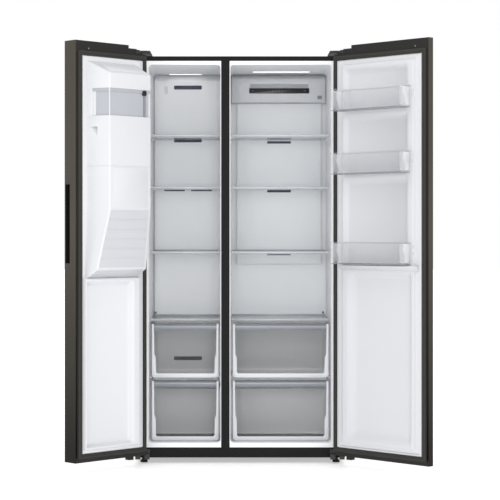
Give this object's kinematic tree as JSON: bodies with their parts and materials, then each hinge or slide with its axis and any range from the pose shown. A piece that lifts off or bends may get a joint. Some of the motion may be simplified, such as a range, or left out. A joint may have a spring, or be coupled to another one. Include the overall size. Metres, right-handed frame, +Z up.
{
  "type": "side by side refrigerator",
  "caption": "Two-door side by side refrigerator with its doors open: glass shelves, clear drawers and door bins, an ice and water dispenser in the freezer door, dark steel doors and white liners.",
  "frame": {"origin": "on the floor, under the middle of the object's box with both doors open", "axes": "+Z up, +Y from the open front to the rear of the cabinet, +X to the right as seen from the front"},
  "size_m": [1.5116, 1.0534, 1.785],
  "materials": {
    "dark_steel": "satin",
    "dark_painted": "satin",
    "galvanised": "satin",
    "black_plastic": "satin",
    "gloss_black": "gloss",
    "white_plastic": "satin",
    "grey_plastic": "satin",
    "light_plastic": "satin",
    "foam": "matte",
    "glass": "gloss",
    "clear_plastic": "gloss",
    "gasket_rubber": "matte",
    "cast_black": "satin",
    "coil_black": "satin",
    "alloy": "satin",
    "steel": "satin"
  },
  "bodies": {
    "cabinet": {"side_panel_left": "dark_steel", "side_panel_right": "dark_steel", "top_panel": "dark_painted", "rear_panel": "galvanised", "base_frame": "dark_painted", "divider_bar": "dark_painted", "cabinet_insulation": "foam", "freezer_liner": "white_plastic", "fridge_liner": "white_plastic", "freezer_air_duct": "white_plastic", "fridge_air_duct": "white_plastic", "lights_and_controls": "light_plastic", "freezer_shelf_top": "glass", "freezer_shelf_middle": "glass", "freezer_shelf_bottom": "glass", "fridge_shelf_top": "glass", "fridge_shelf_middle": "glass", "fridge_shelf_bottom": "glass", "drawer_covers": "glass", "shelf_trims": "white_plastic", "compressor": "cast_black", "condenser_coil": "coil_black", "evaporator": "alloy", "fan_motors": "black_plastic", "rear_cover": "galvanised", "hinge_brackets": "steel", "hinge_covers": "black_plastic", "water_inlet_valve": "grey_plastic", "cord_gland": "gasket_rubber"},
    "freezer_door": {"freezer_door_panel": "dark_steel", "freezer_door_trim": "black_plastic", "freezer_door_insulation": "foam", "freezer_door_liner": "white_plastic", "freezer_door_gasket": "gasket_rubber", "ice_housing": "white_plastic", "ice_maker": "grey_plastic", "ice_bucket": "clear_plastic", "dispenser_recess": "black_plastic", "dispenser_panel": "gloss_black", "drip_tray": "black_plastic"},
    "fridge_door": {"fridge_door_panel": "dark_steel", "fridge_door_trim": "black_plastic", "fridge_door_insulation": "foam", "fridge_door_liner": "white_plastic", "fridge_door_gasket": "gasket_rubber"},
    "dispenser_paddle": {"dispenser_paddle": "grey_plastic"},
    "ice_flap": {"ice_flap": "grey_plastic"},
    "ice_auger": {"ice_auger": "steel"},
    "bin_top": {"bin_top": "clear_plastic"},
    "bin_middle": {"bin_middle": "clear_plastic"},
    "bin_bottom": {"bin_bottom": "clear_plastic"},
    "freezer_drawer_upper": {"freezer_drawer_upper": "clear_plastic"},
    "freezer_drawer_lower": {"freezer_drawer_lower": "clear_plastic"},
    "fridge_drawer_upper": {"fridge_drawer_upper": "clear_plastic"},
    "fridge_drawer_lower": {"fridge_drawer_lower": "clear_plastic"},
    "evaporator_fan": {"evaporator_fan": "grey_plastic"},
    "condenser_fan": {"condenser_fan": "black_plastic"},
    "foot_left": {"foot_left": "black_plastic"},
    "foot_right": {"foot_right": "black_plastic"},
    "rear_rollers": {"rear_rollers": "black_plastic"}
  },
  "joints": [
    {"name": "freezer_door_hinge", "type": "hinge", "parent": "cabinet", "child": "freezer_door", "pos_m": [-0.474, -0.1193, 0.9], "axis": [0, 0, -1], "range_deg": [-135, 0]},
    {"name": "fridge_door_hinge", "type": "hinge", "parent": "cabinet", "child": "fridge_door", "pos_m": [0.41, -0.1193, 0.9], "axis": [0, 0, 1], "range_deg": [-135, 0]},
    {"name": "freezer_drawer_upper_slide", "type": "slide", "parent": "cabinet", "child": "freezer_drawer_upper", "axis": [0, -1, 0], "range_m": [0, 0.3]},
    {"name": "freezer_drawer_lower_slide", "type": "slide", "parent": "cabinet", "child": "freezer_drawer_lower", "axis": [0, -1, 0], "range_m": [0, 0.22]},
    {"name": "fridge_drawer_upper_slide", "type": "slide", "parent": "cabinet", "child": "fridge_drawer_upper", "axis": [0, -1, 0], "range_m": [0, 0.34]},
    {"name": "fridge_drawer_lower_slide", "type": "slide", "parent": "cabinet", "child": "fridge_drawer_lower", "axis": [0, -1, 0], "range_m": [0, 0.22]},
    {"name": "bin_top_lift", "type": "slide", "parent": "fridge_door", "child": "bin_top", "axis": [0, 0, 1], "range_m": [0, 0.03]},
    {"name": "bin_middle_lift", "type": "slide", "parent": "fridge_door", "child": "bin_middle", "axis": [0, 0, 1], "range_m": [0, 0.03]},
    {"name": "bin_bottom_lift", "type": "slide", "parent": "fridge_door", "child": "bin_bottom", "axis": [0, 0, 1], "range_m": [0, 0.03]},
    {"name": "paddle_hinge", "type": "hinge", "parent": "freezer_door", "child": "dispenser_paddle", "pos_m": [-0.54754, -0.30032, 1.15], "axis": [-0.7071, -0.7071, 0], "range_deg": [0, 8], "stiffness_Nm_per_rad": 1, "springref_deg": -4.58},
    {"name": "ice_flap_hinge", "type": "hinge", "parent": "freezer_door", "child": "ice_flap", "pos_m": [-0.55036, -0.29749, 1.171], "axis": [-0.7071, -0.7071, 0], "range_deg": [0, 26]},
    {"name": "ice_auger_spin", "type": "hinge", "parent": "freezer_door", "child": "ice_auger", "pos_m": [-0.4945, -0.28972, 1.3], "axis": [0, 0, 1], "continuous": true},
    {"name": "evaporator_fan_spin", "type": "hinge", "parent": "cabinet", "child": "evaporator_fan", "pos_m": [-0.271, 0.4007, 1], "axis": [0, 1, 0], "continuous": true},
    {"name": "condenser_fan_spin", "type": "hinge", "parent": "cabinet", "child": "condenser_fan", "pos_m": [-0.052, 0.4247, 0.14], "axis": [1, 0, 0], "continuous": true},
    {"name": "foot_left_turn", "type": "hinge", "parent": "cabinet", "child": "foot_left", "pos_m": [-0.448, -0.0243, 0.03], "axis": [0, 0, 1], "continuous": true},
    {"name": "foot_right_turn", "type": "hinge", "parent": "cabinet", "child": "foot_right", "pos_m": [0.384, -0.0243, 0.03], "axis": [0, 0, 1], "continuous": true},
    {"name": "rear_rollers_spin", "type": "hinge", "parent": "cabinet", "child": "rear_rollers", "pos_m": [-0.032, 0.4657, 0.015], "axis": [1, 0, 0], "continuous": true}
  ],
  "couplings": [
    {"joint": "ice_flap_hinge", "follows": "paddle_hinge", "ratio": 3}
  ]
}
